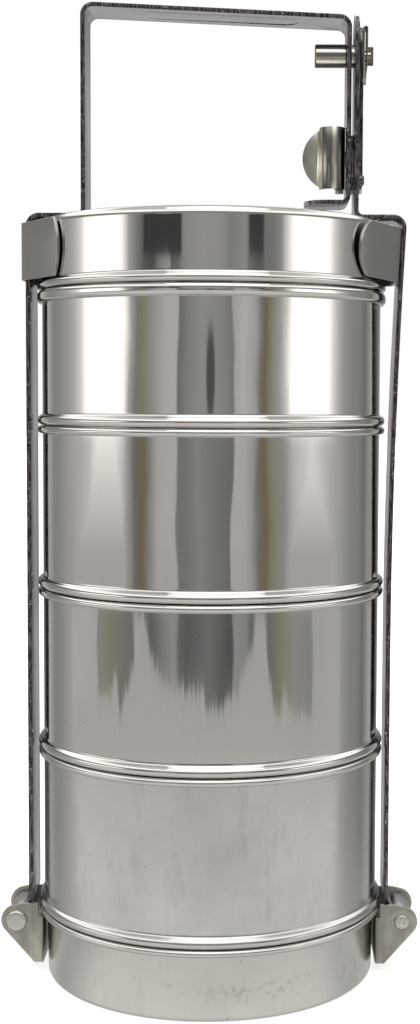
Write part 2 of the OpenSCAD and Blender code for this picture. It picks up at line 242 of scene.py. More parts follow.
def nodeTools(tree):
    # short ways to add the usual nodes to a tree
    nodes, links = tree.nodes, tree.links

    def feed(socket, value):
        if hasattr(value, "links"):
            links.new(value, socket)
        elif value is not None:
            socket.default_value = value

    def calc(operation, a, b=None, c=None, clamp=False):
        node = nodes.new("ShaderNodeMath")
        node.operation = operation
        node.use_clamp = clamp
        for socket, value in zip(node.inputs, (a, b, c)):
            feed(socket, value)
        return node.outputs[0]

    def spread(value, low, high, toLow=0.0, toHigh=1.0, kind="LINEAR"):
        node = nodes.new("ShaderNodeMapRange")
        node.interpolation_type = kind
        for socket, number in zip(node.inputs, (value, low, high, toLow, toHigh)):
            feed(socket, number)
        return node.outputs[0]

    def noise(vector, scale, detail=3.0, rough=0.55):
        node = nodes.new("ShaderNodeTexNoise")
        feed(node.inputs["Vector"], vector)
        feed(node.inputs["Scale"], scale)
        node.inputs["Detail"].default_value = detail
        node.inputs["Roughness"].default_value = rough
        return node.outputs["Fac"]

    def mix(factor, a, b, kind="MIX"):
        node = nodes.new("ShaderNodeMix")
        node.data_type = "RGBA"
        node.blend_type = kind
        for socket, value in ((node.inputs[0], factor), (node.inputs[6], a), (node.inputs[7], b)):
            feed(socket, value)
        return node.outputs[2]

    def scaled(vector, factors):
        node = nodes.new("ShaderNodeVectorMath")
        node.operation = "MULTIPLY"
        node.inputs[1].default_value = factors
        links.new(vector, node.inputs[0])
        return node.outputs[0]

    def ramp(value, stops, kind="LINEAR"):
        node = nodes.new("ShaderNodeValToRGB")
        node.color_ramp.interpolation = kind
        while len(node.color_ramp.elements) < len(stops):
            node.color_ramp.elements.new(1.0)
        for element, (place, colour) in zip(node.color_ramp.elements, stops):
            element.position = place
            element.color = (*colour, 1)
        links.new(value, node.inputs[0])
        return node.outputs[0]

    return calc, spread, noise, mix, scaled, ramp


def litAs(level):
    # brightness of a wall that steel mirrors as this grey level (0 to 255)
    levels = level if isinstance(level, tuple) else (level * 1.005, level, level * 0.985)
    steelShare = 0.60
    return tuple(((v / 255 + 0.055) / 1.055) ** 2.4 / steelShare for v in levels)


def makeWorld():
    # a studio room by direction round the object: angle 0 is the front, + is right, heights in degrees
    white = 268
    sideWalls = [(-180, 150), (-158, 122), (-148, 166), (-138, 144), (-131, 122), (-122, 128), (-114, 140),
                 (-108, 150), (-102, 168), (-95, 205), (-89, white), (85, white), (91, 205), (96, 168),
                 (102, 140), (111, 126), (119, 122), (128, 102), (138, 142), (148, 150), (158, 116),
                 (180, 150)]
    lowSides = [(-180, 160), (-148, 160), (-138, 150), (-131, 144), (-122, 148), (-114, 156), (-102, 168),
                (-88, 188), (-75, 210), (75, 210), (88, 192), (102, 174), (111, 164), (119, 160), (128, 160),
                (138, 168), (180, 160)]
    olive = (122, 119, 101)
    brown = (103, 94, 76)
    rows = {
        "lid": [(-62, white), (-58, 230), (-54, 150), (-48, 116), (-43, 84), (-37, 74), (-33, 116),
                (-28, 141), (-25.6, 141), (-24.8, 92), (-20, 100), (-18, 124), (-14, 133), (-5, 141),
                (8, 138), (14, 121),
                (19, 127), (24, 134), (25.6, 110), (32, 86), (35, 92), (36.5, 108), (43, 113), (48, 133),
                (53, 212), (58, white), (62, white)],
        "top": [(-62, white), (-58, 230), (-54, 155), (-49, 114), (-44, olive), (-38, 138), (-29, 163),
                (-20.6, 165), (-19.6, 102), (-14, 122), (-5, 135), (4, 134), (10, 126), (15.4, 113),
                (16.4, 156), (23, 169), (30, 152), (34, 112), (38, brown), (42, olive), (48, 146), (53, 200),
                (58, white), (62, white)],
        "third": [(-110, 145), (-95, 167), (-88, 181), (-82, 212), (-76, 230), (-70, 230), (-64, 214),
                  (-59, 184), (-54, 143), (-49, 101), (-44, brown), (-40, 128), (-34, 158),
                  (-24, 163), (-20.6, 160), (-19.6, 109), (-14, 112), (-6, 126), (0, 116), (15.4, 101),
                  (16.4, 163), (24, 160), (29, 142), (33, 104), (38, brown), (42, olive), (50, 132),
                  (59, 176), (70, 205), (76, 197), (88, 167), (110, 130)],
        "second": [(-90, 162), (-80.6, 158), (-79.6, 128), (-70, olive), (-56, 108), (-50.5, 104),
                   (-49.5, 140), (-44, 112), (-38, 88), (-33, 104), (-24, 133), (-20.6, 130), (-19.6, 96),
                   (-14, 84),
                   (0, 103), (15.4, 74), (16.4, 132), (24, 125), (28, 92), (31, 138), (37, 133), (40, 100),
                   (48, olive), (60, 132), (72.4, 124), (73.6, 156), (90, 160)],
    }
    # height at which the table's edge shows, by angle
    tableEdge = [(-82, -10.6), (-70, -10.4), (-64, -9.5), (-62.5, -11.4), (-56, -10.4), (-50, -9.2),
                 (-48, -7.6), (-44, -7.6), (-38, -9.2), (-29, -10.1), (-20, -10.3), (-2, -10.3), (-1, -11.0),
                 (8, -11.0), (19, -10.5), (22, -9.7), (29, -8.7), (31, -7.6), (37, -7.6), (39.5, -9.6),
                 (46, -11.4),
                 (50.5, -10.5), (59, -11.2), (74, -11.2), (82, -10.8)]
    tableShade = [(-60, 176), (-24, 190), (-20, 188), (-16, 188), (-13.5, 172), (-12.5, 160), (-9, 156)]
    ceiling = [(8, 165), (11, 112), (25, 118), (31, 262), (48, 250), (57, 175), (90, 205)]
    world = bpy.data.worlds.new("studio")
    bpy.context.scene.world = world
    world.use_nodes = True
    nodes, links = world.node_tree.nodes, world.node_tree.links
    nodes.clear()
    calc, spread, noise, mix, scaled, ramp = nodeTools(world.node_tree)
    way = nodes.new("ShaderNodeTexCoord").outputs["Generated"]
    parts = nodes.new("ShaderNodeSeparateXYZ")
    links.new(way, parts.inputs[0])
    angle = calc("MULTIPLY", calc("ARCTAN2", parts.outputs["X"], calc("MULTIPLY", parts.outputs["Y"], -1)),
                 180 / math.pi)
    height = calc("MULTIPLY", calc("ARCSINE", parts.outputs["Z"]), 180 / math.pi)
    # folds: the bands lean and wander a little with height
    folds = noise(scaled(way, (1.0, 1.0, 3.2)), 3.4, 3)
    swayed = calc("ADD", angle, spread(folds, 0.2, 0.8, -3.2, 3.2))

    def around(source, stops, low, high):
        places = [((a - low) / (high - low), litAs(v)) for a, v in stops]
        return ramp(spread(source, low, high), places)

    def blend(low, high):
        return spread(height, low, high)

    sides = around(angle, sideWalls, -180, 180)
    lidRow = mix(1.0, around(angle, rows["lid"], -62, 62), sides, "DARKEN")
    topRow = mix(1.0, around(swayed, rows["top"], -62, 62), sides, "DARKEN")
    thirdRow = mix(1.0, around(swayed, rows["third"], -110, 110), sides, "DARKEN")
    dusk = around(height, [(-9, 156), (-5.5, 158), (-3, 200), (-1, 235)], -9, -1)
    thirdRow = mix(1.0, thirdRow, dusk, "DARKEN")
    secondRow = mix(1.0, around(swayed, rows["second"], -90, 90), sides, "DARKEN")
    # dark doorways over pale blocks, only in the lid's row
    doors = around(angle, [(-44, 0), (-43, 255), (-18.5, 255), (-17, 0), (25.5, 0), (26.5, 255), (35, 255),
                           (36.5, 0)], -62, 62)
    doorHeight = calc("MULTIPLY", blend(4.9, 5.1), spread(height, 8, 7))
    doorMask = calc("MULTIPLY", calc("MULTIPLY", doors, 0.6), doorHeight)
    lidRow = mix(doorMask, lidRow, (*litAs(54), 1))
    # one narrow dark figure in front of the top tier
    figureAt = {"angle": 1.2, "height": 0.8, "halfWidth": 3.2, "halfHeight": 1.9}
    across = calc("DIVIDE", calc("SUBTRACT", angle, figureAt["angle"]), figureAt["halfWidth"])
    along = calc("DIVIDE", calc("SUBTRACT", height, figureAt["height"]), figureAt["halfHeight"])
    figure = spread(calc("ADD", calc("MULTIPLY", across, across), calc("MULTIPLY", along, along)), 1.1, 0.5)
    topRow = mix(figure, topRow, (*litAs(72), 1))
    wall = mix(blend(-1.4, -1.2), thirdRow, topRow)
    wall = mix(blend(-7.45, -7.35), secondRow, wall)
    wall = mix(blend(4.0, 4.2), wall, lidRow)
    wall = mix(blend(7.5, 13), wall, around(height, ceiling, 0, 90))
    # the table and its uneven edge
    edgeStops = [((a + 82) / 164, ((h + 14) / 8,) * 3) for a, h in tableEdge]
    edge = calc("ADD", calc("MULTIPLY", ramp(spread(swayed, -82, 82), edgeStops), 8), -14)
    frayed = calc("ADD", edge, spread(noise(scaled(way, (1, 1, 0.3)), 60, 3), 0.3, 0.7, -0.35, 0.35))
    onTable = spread(calc("SUBTRACT", frayed, height), -0.10, 0.12)
    tableEnds = mix(spread(height, -21, -15), around(angle, lowSides, -180, 180), sides)
    table = mix(1.0, around(height, tableShade, -60, 0), tableEnds, "DARKEN")
    room = mix(onTable, wall, table)
    seen = mix(nodes.new("ShaderNodeLightPath").outputs["Is Camera Ray"], room, (1, 1, 1, 1))
    light = nodes.new("ShaderNodeBackground")
    links.new(seen, light.inputs["Color"])
    out = nodes.new("ShaderNodeOutputWorld")
    links.new(light.outputs[0], out.inputs[0])


def makeStage():
    # white paper; the camera sees it near white, and the steel mirrors the room's table instead
    stage = {"colour": (0.9, 0.9, 0.9, 1), "rough": 0.9, "glow": 0.55, "radius": 8,
             "lampPlace": (0.1, -0.5, 1.7), "lampTilt": 16, "lampSize": 1.3, "lampPower": 6}
    paper = bpy.data.materials.new("paper")
    paper.use_nodes = True
    nodes, links = paper.node_tree.nodes, paper.node_tree.links
    shader = nodes["Principled BSDF"]
    shader.inputs["Base Color"].default_value = stage["colour"]
    shader.inputs["Roughness"].default_value = stage["rough"]
    shader.inputs["Specular IOR Level"].default_value = 0.0
    shader.inputs["Emission Color"].default_value = (1, 1, 1, 1)
    lift = nodes.new("ShaderNodeMath")
    lift.operation = "MULTIPLY"
    lift.inputs[1].default_value = stage["glow"]
    links.new(nodes.new("ShaderNodeLightPath").outputs["Is Camera Ray"], lift.inputs[0])
    links.new(lift.outputs[0], shader.inputs["Emission Strength"])
    bpy.ops.mesh.primitive_circle_add(vertices=96, radius=stage["radius"], fill_type="NGON")
    floor = bpy.context.object
    floor.name = "floor"
    floor.visible_glossy = False
    floor.data.materials.append(paper)
    bpy.ops.object.light_add(type="AREA", location=stage["lampPlace"],
                             rotation=(math.radians(stage["lampTilt"]), 0, 0))
    lamp = bpy.context.object
    lamp.data.shape = "DISK"
    lamp.data.size = stage["lampSize"]
    lamp.data.energy = stage["lampPower"]


makeCamera()
makeWorld()
makeStage()
bpy.context.scene.view_settings.view_transform = "Standard"
print("stage ready")


def newSocket(group, name, way, kind="NodeSocketFloat", value=None):
    socket = group.interface.new_socket(name=name, in_out=way, socket_type=kind)
    if value is not None:
        socket.default_value = value


def makeSteelMarks():
    # drawn or rolled steel: fine lines along one way, cloudy smudges and a few specks
    group = bpy.data.node_groups.new("steelMarks", "ShaderNodeTree")
    newSocket(group, "Place", "INPUT", "NodeSocketVector")
    newSocket(group, "Tint", "INPUT", "NodeSocketColor", (0.6, 0.6, 0.6, 1))
    for name, value in (("Roughness", 0.1), ("Smudge", 0.1), ("Lines", 0.1), ("Line Scale", 900.0),
                        ("Specks", 0.1)):
        newSocket(group, name, "INPUT", value=value)
    newSocket(group, "Colour", "OUTPUT", "NodeSocketColor")
    newSocket(group, "Roughness", "OUTPUT")
    newSocket(group, "Height", "OUTPUT")
    nodes, links = group.nodes, group.links
    calc, spread, noise, mix, scaled, ramp = nodeTools(group)
    given = nodes.new("NodeGroupInput").outputs
    result = nodes.new("NodeGroupOutput").inputs
    place = given["Place"]
    lines = spread(noise(scaled(place, (1, 1, 0.035)), given["Line Scale"], 4), 0.35, 0.65)
    clouds = spread(noise(place, 26.0, 5, 0.6), 0.42, 0.72)
    wipes = spread(noise(scaled(place, (1, 1, 0.25)), 130.0, 4, 0.65), 0.56, 0.74)
    cells = nodes.new("ShaderNodeTexVoronoi")
    cells.inputs["Scale"].default_value = 210
    links.new(place, cells.inputs["Vector"])
    dots = calc("MULTIPLY", spread(cells.outputs["Distance"], 0.11, 0.05),
                spread(noise(place, 60.0, 2), 0.55, 0.62))
    smudge = calc("MULTIPLY", calc("ADD", clouds, calc("MULTIPLY", wipes, 0.8)), given["Smudge"])
    lineShare = calc("MULTIPLY", lines, given["Lines"])
    dotShare = calc("MULTIPLY", dots, given["Specks"])
    dark = calc("ADD", calc("MULTIPLY", smudge, 0.5), calc("ADD", calc("MULTIPLY", lineShare, 0.5), dotShare))
    tinted = nodes.new("ShaderNodeVectorMath")
    tinted.operation = "SCALE"
    links.new(given["Tint"], tinted.inputs[0])
    links.new(calc("SUBTRACT", 1.0, dark, clamp=True), tinted.inputs["Scale"])
    links.new(tinted.outputs[0], result["Colour"])
    worn = calc("ADD", calc("MULTIPLY", smudge, 0.5), calc("MULTIPLY", lineShare, 0.35))
    links.new(calc("ADD", given["Roughness"], worn, clamp=True), result["Roughness"])
    links.new(calc("SUBTRACT", lineShare, calc("MULTIPLY", dotShare, 2.0)), result["Height"])
    return group


steelMarks = makeSteelMarks()


def bumpNode(tree, height, strength, distance, under=None):
    node = tree.nodes.new("ShaderNodeBump")
    node.inputs["Strength"].default_value = strength
    node.inputs["Distance"].default_value = distance * mm
    tree.links.new(height, node.inputs["Height"])
    if under:
        tree.links.new(under, node.inputs["Normal"])
    return node.outputs["Normal"]


def steel(name, tint, rough, smudge, lines, specks=0.1, lineScale=900.0, bump=0.004, wobble=0.0, turn=None):
    material = bpy.data.materials.new(name)
    material.use_nodes = True
    tree = material.node_tree
    nodes, links = tree.nodes, tree.links
    calc, spread, noise, mix, scaled, ramp = nodeTools(tree)
    shader = nodes["Principled BSDF"]
    shader.inputs["Metallic"].default_value = 1.0
    place = nodes.new("ShaderNodeTexCoord").outputs["Object"]
    if turn:
        turned = nodes.new("ShaderNodeMapping")
        turned.inputs["Rotation"].default_value = turn
        links.new(place, turned.inputs["Vector"])
        place = turned.outputs[0]
    marks = nodes.new("ShaderNodeGroup")
    marks.node_tree = steelMarks
    links.new(place, marks.inputs["Place"])
    marks.inputs["Tint"].default_value = (*tint, 1)
    for key, value in (("Roughness", rough), ("Smudge", smudge), ("Lines", lines), ("Specks", specks),
                       ("Line Scale", lineScale)):
        marks.inputs[key].default_value = value
    links.new(marks.outputs["Colour"], shader.inputs["Base Color"])
    links.new(marks.outputs["Roughness"], shader.inputs["Roughness"])
    slow = None
    if wobble:  # slow waves left in a spun wall, which bend what it mirrors
        slow = bumpNode(tree, noise(scaled(place, (1, 1, 0.4)), 22.0, 1.0, 0.5), 1.0, wobble)
    links.new(bumpNode(tree, marks.outputs["Height"], 0.5, bump, slow), shader.inputs["Normal"])
    return material


def shadeBy(material, value, stops, low=0.0, high=1.0):
    # multiplies the steel's colour by a grey that follows a value: painted highlight and shade
    links = material.node_tree.links
    calc, spread, noise, mix, scaled, ramp = nodeTools(material.node_tree)
    greys = [((place - low) / (high - low), (level, level * 0.985, level * 0.93)) for place, level in stops]
    colour = material.node_tree.nodes["Principled BSDF"].inputs["Base Color"]
    old = colour.links[0].from_socket
    links.new(mix(1.0, old, ramp(spread(value, low, high), greys), "MULTIPLY"), colour)


steelTint = (0.625, 0.607, 0.592)
finishes = {
    "mirrorSteel": {"tint": steelTint, "rough": 0.03, "smudge": 0.05, "lines": 0.03, "specks": 0.15,
                    "lineScale": 1200, "wobble": 0.08},
    "wipedSteel": {"tint": steelTint, "rough": 0.035, "smudge": 0.07, "lines": 0.04, "specks": 0.25,
                   "lineScale": 1200, "wobble": 0.10},
    "wornSteel": {"tint": steelTint, "rough": 0.16, "smudge": 0.20, "lines": 0.025, "specks": 0.2,
                  "lineScale": 1100, "wobble": 0.12},
    "baseSteel": {"tint": (0.655, 0.64, 0.615), "rough": 0.17, "smudge": 0.18, "lines": 0.03, "specks": 0.5,
                  "lineScale": 1000, "wobble": 0.10},
    "strapFace": {"tint": (0.60, 0.575, 0.63), "rough": 0.16, "smudge": 0.25, "lines": 0.10, "specks": 0.3},
    "saddleSteel": {"tint": (0.40, 0.385, 0.375), "rough": 0.30, "smudge": 0.12, "lines": 0.10,
                    "specks": 0.3},
    "lugSteel": {"tint": (0.50, 0.485, 0.43), "rough": 0.30, "smudge": 0.55, "lines": 0.15, "specks": 1.0,
                 "lineScale": 800, "bump": 0.03},
    "pinSteel": {"tint": (0.66, 0.645, 0.59), "rough": 0.28, "smudge": 0.35, "lines": 0.06, "specks": 0.6,
                 "lineScale": 800, "bump": 0.02},
    "turnedSteel": {"tint": (0.66, 0.64, 0.60), "rough": 0.16, "smudge": 0.15, "lines": 0.12, "specks": 0.3,
                    "lineScale": 1500, "turn": (0, math.radians(90), 0)},
    "leverSteel": {"tint": (0.72, 0.70, 0.66), "rough": 0.15, "smudge": 0.12, "lines": 0.03, "specks": 0.2,
                   "lineScale": 1500},
}
# every steel by its name
skin = {name: steel(name, **look) for name, look in finishes.items()}


def makeCutEdge():
    # sheared edges left rough: dark, drawn out along the strip, with torn bright grains
    look = {"dark": (0.035, 0.032, 0.034), "streak": (0.24, 0.22, 0.22), "bright": (0.75, 0.73, 0.73),
            "rough": 0.34}
    material = bpy.data.materials.new("cutEdge")
    material.use_nodes = True
    shader = material.node_tree.nodes["Principled BSDF"]
    shader.inputs["Metallic"].default_value = 1.0
    shader.inputs["Roughness"].default_value = look["rough"]
    calc, spread, noise, mix, scaled, ramp = nodeTools(material.node_tree)
    nodes, links = material.node_tree.nodes, material.node_tree.links
    place = nodes.new("ShaderNodeTexCoord").outputs["Object"]
    streaks = spread(noise(scaled(place, (1, 1, 0.12)), 1500, 3), 0.42, 0.66)
    grains = noise(scaled(place, (1, 1, 0.7)), 1250, 2, 0.7)
    torn = calc("MULTIPLY", spread(grains, 0.60, 0.70), spread(noise(place, 90, 2), 0.42, 0.6))
    base = mix(streaks, (*look["dark"], 1), (*look["streak"], 1))
    links.new(mix(torn, base, (*look["bright"], 1)), shader.inputs["Base Color"])
    links.new(bumpNode(material.node_tree, grains, 0.5, 0.06), shader.inputs["Normal"])
    return material


def stainBase(material):
    # finger marks and dried stains in a band under the rim
    look = {"low": 7.5, "high": 13.5, "fade": 2.0, "colour": (0.42, 0.39, 0.33), "amount": 0.75}
    nodes, links = material.node_tree.nodes, material.node_tree.links
    calc, spread, noise, mix, scaled, ramp = nodeTools(material.node_tree)
    place = nodes["Texture Coordinate"].outputs["Object"]
    parts = nodes.new("ShaderNodeSeparateXYZ")
    links.new(place, parts.inputs[0])
    z = calc("MULTIPLY", parts.outputs["Z"], 1000)
    low, high, fade = look["low"], look["high"], look["fade"]
    band = calc("MULTIPLY", spread(z, low - fade, low + fade), spread(z, high + fade, high - fade))
    blots = calc("MULTIPLY", spread(noise(scaled(place, (1, 1, 0.8)), 420, 4, 0.7), 0.50, 0.66),
                 spread(noise(place, 45, 2), 0.47, 0.56))
    mask = calc("MULTIPLY", calc("MULTIPLY", band, blots), look["amount"])
    colour = nodes["Principled BSDF"].inputs["Base Color"]
    old = colour.links[0].from_socket
    links.new(mix(mask, old, (*look["colour"], 1)), colour)


def paintTurnedHighlightShade(material):
    # painted highlight and shade: the colour is painted bright where the surface faces near the viewer and
    # dark where it turns away, in place of reflections
    paintedTones = [(0.0, 0.42), (0.03, 0.46), (0.07, 1.0), (0.15, 1.0), (0.24, 0.30), (0.45, 0.12), (0.85, 0.10),
             (1.0, 0.5)]
    facing = material.node_tree.nodes.new("ShaderNodeLayerWeight")
    facing.inputs["Blend"].default_value = 0.5
    shadeBy(material, facing.outputs["Facing"], paintedTones)


def paintLeverHighlightShade(material):
    # painted highlights and shade across the lever's width: bright bands stand in for reflections, dark bands
    # for where it turns away and for shadow next to the leg; places along x in metres, from the flap's tip to
    # the strap
    paintedTones = [(0.0335, 0.75), (0.0377, 1.0), (0.0404, 1.0), (0.0407, 0.34), (0.0427, 0.42), (0.0438, 0.34),
             (0.0444, 1.0), (0.0458, 1.0), (0.0466, 0.24), (0.0486, 0.10)]
    nodes, links = material.node_tree.nodes, material.node_tree.links
    parts = nodes.new("ShaderNodeSeparateXYZ")
    links.new(nodes["Texture Coordinate"].outputs["Object"], parts.inputs[0])
    shadeBy(material, parts.outputs["X"], paintedTones, paintedTones[0][0], paintedTones[-1][0])


skin["cutEdge"] = makeCutEdge()
stainBase(skin["baseSteel"])
# painted highlight and shade on the turned steel, by facing
paintTurnedHighlightShade(skin["turnedSteel"])
# painted highlight and shade on the lever, by place across it
paintLeverHighlightShade(skin["leverSteel"])
print("materials ready")

# hold: the wall's own shading starts this far from each bead
bead = {"hold": 0.4, "gap": 0.1, "fillet": 1.2, "rim": 1.45, "baseRim": 1.25, "tallRim": 4.7, "lidRim": 1.5}
spinSteps = 180


def stepBead(z0):
    # outline of the bead at the foot of a piece, with the hollow curve from the wall into it
    f = bead["fillet"]
    middle = z0 + bead["gap"] + beadOut
    rise = math.sqrt((beadOut + f) ** 2 - f ** 2)
    meet = math.degrees(math.atan2(rise, f))
    return (arc(wallR, middle, beadOut, -90, meet, 16)
            + arc(wallR + f, middle + rise, f, meet + 180, 180, 6)[1:]
            + [(wallR, middle + rise + bead["hold"])])


def roundRim(z1, r):
    rim = arc(wallR + beadOut - r, z1 - bead["gap"] / 2 - r, r, -112, 180, 20)
    return [(wallR, rim[0][1] - bead["hold"]), (wallR, rim[0][1])] + rim


def tallRim(z1):
    # the taller roll that the lid sits on: two beads over each other and a small lip inside
    top = z1 - bead["gap"] / 2
    low = top - bead["tallRim"]
    lip = 0.55
    return ([(wallR, low + 0.15 - bead["hold"]), (wallR, low + 0.15)]
            + arc(wallR, low + beadOut, beadOut, -80, 0, 8)
            + arc(wallR, top - beadOut, beadOut, 0, 88, 8)
            + arc(wallR - 0.45, top - lip, lip, 90, 180, 5))


def spunPiece(name, outline, material, body, slotName):
    places = onFront([(max(x, 0.0), z) for x, z in outline])
    piece = spinLine(name, places, (0, 0, 0), (0, 0, 1), spinSteps)
    paint(piece, material)
    finish(piece, body, slotName, body if body != "base" else "base_cup", angle=50)


def makeTier(index, material):
    tier = {"corner": 2.0, "dimple": 0.35, "step": 1.4, "lowStep": 0.9 + sheet + 0.5}
    name = f"tier_{index}"
    z0, z1 = seam[index - 1], seam[index]
    spigot = highOf(name).x - beadOut - tier["step"] if index > 1 else wallR - tier["lowStep"]
    floorZ = z0 - spigotDepth
    corner, dimple = tier["corner"], tier["dimple"]
    outer = ([(0, floorZ + dimple), (spigot - 9, floorZ + dimple), (spigot - 8, floorZ)]
             + arc(spigot - corner, floorZ + corner, corner, -90, 0, 8)
             + [(spigot, z0 + bead["gap"])] + stepBead(z0)
             + (tallRim(z1) if index == 4 else roundRim(z1, bead["rim"])))
    behindBead = arc(wallR, z0 + bead["gap"] + beadOut, beadOut - sheet, 130, 230, 8)
    inner = ([(wallR - sheet, z1 - bead["tallRim"])]
             + [(max(x, wallR - sheet), z) for x, z in behindBead]
             + [(spigot - sheet, z0 + bead["gap"] + sheet)]
             + arc(spigot - corner, floorZ + corner, corner - sheet, 0, -90, 8)
             + [(spigot - 8, floorZ + sheet), (spigot - 9, floorZ + sheet + dimple),
                (0, floorZ + sheet + dimple)])
    spunPiece(f"tier{index}Shell", outer + inner, material, name, "polished_steel")


def makeLid():
    lid = {"shoulder": 3.0, "dish": 0.5, "dishR": 10.5, "flatR": 9.0, "step": 4.0, "lip": 0.3, "fit": 0.6}
    z0 = seam[4]
    foot = z0 - spigotDepth
    spigot = wallR - sheet - lid["fit"]
    bend, dish, lip = lid["shoulder"], lid["dish"], lid["lip"]
    flat, hollow = wallR - lid["flatR"], wallR - lid["dishR"]
    foldR = bead["lidRim"]
    outer = ([(spigot - sheet, foot + lip), (spigot - sheet + lip, foot), (spigot - lip, foot),
              (spigot, foot + lip), (spigot, z0 + bead["gap"])]
             + arc(wallR + beadOut - foldR, z0 + bead["gap"] + foldR, foldR, -90, 62, 14)
             + arc(wallR + 0.9, z0 + lid["step"], 0.9, 235, 180, 4)
             + [(wallR, z0 + lid["step"] + bead["hold"]), (wallR, lidTop - bend - bead["hold"])]
             + arc(wallR - bend, lidTop - bend, bend, 0, 90, 14)
             + [(wallR - bend - bead["hold"], lidTop), (flat, lidTop - 0.02), (hollow, lidTop - dish),
                (0, lidTop - dish)])
    inner = ([(0, lidTop - dish - sheet), (hollow, lidTop - dish - sheet), (flat, lidTop - sheet)]
             + arc(wallR - bend, lidTop - bend, bend - sheet, 90, 0, 10)
             + [(wallR - sheet, z0 + lid["step"]), (spigot - sheet, z0 + 3)])
    spunPiece("lidShell", outer + inner + [outer[0]], "mirrorSteel", "lid", "polished_steel")


def makeBase():
    base = {"footR": 61.2, "topIn": 0.9, "corner": 2.0, "dimple": 0.5}
    footR, corner, dimple = base["footR"], base["corner"], base["dimple"]
    topR = wallR - base["topIn"]
    baseH = seam[0]
    low = baseH - 2 * bead["baseRim"]
    outline = ([(0, dimple), (footR - 12, dimple), (footR - 11, 0.0)]
               + arc(footR - corner, corner, corner, -90, 0, 10)
               + [(footR + 0.02, 2.4), (topR - 0.02, low - 1.2)] + roundRim(baseH, bead["baseRim"])[1:]
               + [(topR - sheet, low - 0.6)] + arc(footR - corner, corner, corner - sheet, 0, -90, 8)
               + [(footR - 11, sheet), (footR - 12, sheet + dimple), (0, sheet + dimple)])
    spunPiece("baseShell", outline, "baseSteel", "base", "base_steel")


makeBase()
for index, material in ((1, "wornSteel"), (2, "wipedSteel"), (3, "mirrorSteel"), (4, "mirrorSteel")):
    makeTier(index, material)
makeLid()
print("containers ready")

strap = {"t": 1.6, "w": 20.0, "leftX": 67.7, "rightX": 66.9, "bow": 4.3, "eye": 2.75, "corner": 4.0,
         "legBend": 2.4, "gripBend": 3.7, "legOuterL": -47.5, "legOuterR": 50.7, "edge": 0.35}
half = strap["t"] / 2
legL = strap["legOuterL"] + half
legR = strap["legOuterR"] - half
gripTop = highOf("handle_strap").z - half
flangeZ = lidTop + 1 + half
lockZ = middleOf("lock_knob").z
uprightX = strap["legOuterR"] + 1.35 + half
uprightTop = highOf("latch_strap").z


def riser(side, lowX, bow):
    # the curled eye and the long side of a strap, on the side of its pin (-1 left, 1 right)
    r = strap["eye"] + half
    zTop = flangeZ - strap["corner"]
    curl = arc(-pinX, pinZ, r, -296, 0, 30)
    jog = [(-pinX + r + (lowX + pinX - r) * (1 - math.cos(math.pi * i / 8)) / 2, pinZ + 2.5 + 6.5 * i / 8)
           for i in range(9)]
    bowFrom, count = 120, 12
    rise = [(lowX - bow * max(z - bowFrom, 0) ** 2 / (zTop - bowFrom) ** 2, z)
            for z in [110 + (zTop - 110) * i / count for i in range(count + 1)]]
    path = curl + jog + rise[:-1]
    return [(-side * x, z) for x, z in path] if side > 0 else path


def bendStrip(name, path):
    return extrudeLine(name, onFront(path, -strap["w"] / 2), Vector((0, strap["w"] * mm, 0)))


def roundEnd(piece, test, radius):
    # rounds the two corners at a strip's free end
    pickOnly(piece)
    bpy.ops.object.mode_set(mode="EDIT")
    bpy.ops.mesh.select_mode(type="VERT")
    bpy.ops.mesh.select_all(action="DESELECT")
    objectMode()
    for vertex in piece.data.vertices:
        vertex.select = bool(test(vertex.co / mm))
    bpy.ops.object.mode_set(mode="EDIT")
    bpy.ops.mesh.bevel(offset=radius * mm, segments=10, affect="VERTICES", clamp_overlap=False)
    objectMode()


def sideEdge(center, normal):
    return abs(normal.y) > 0.6


def finishStrap(piece, body, node, edge):
    soften(piece, edge)
    paint(piece, "strapFace", "cutEdge", sideEdge)
    finish(piece, body, "strap_steel", node)


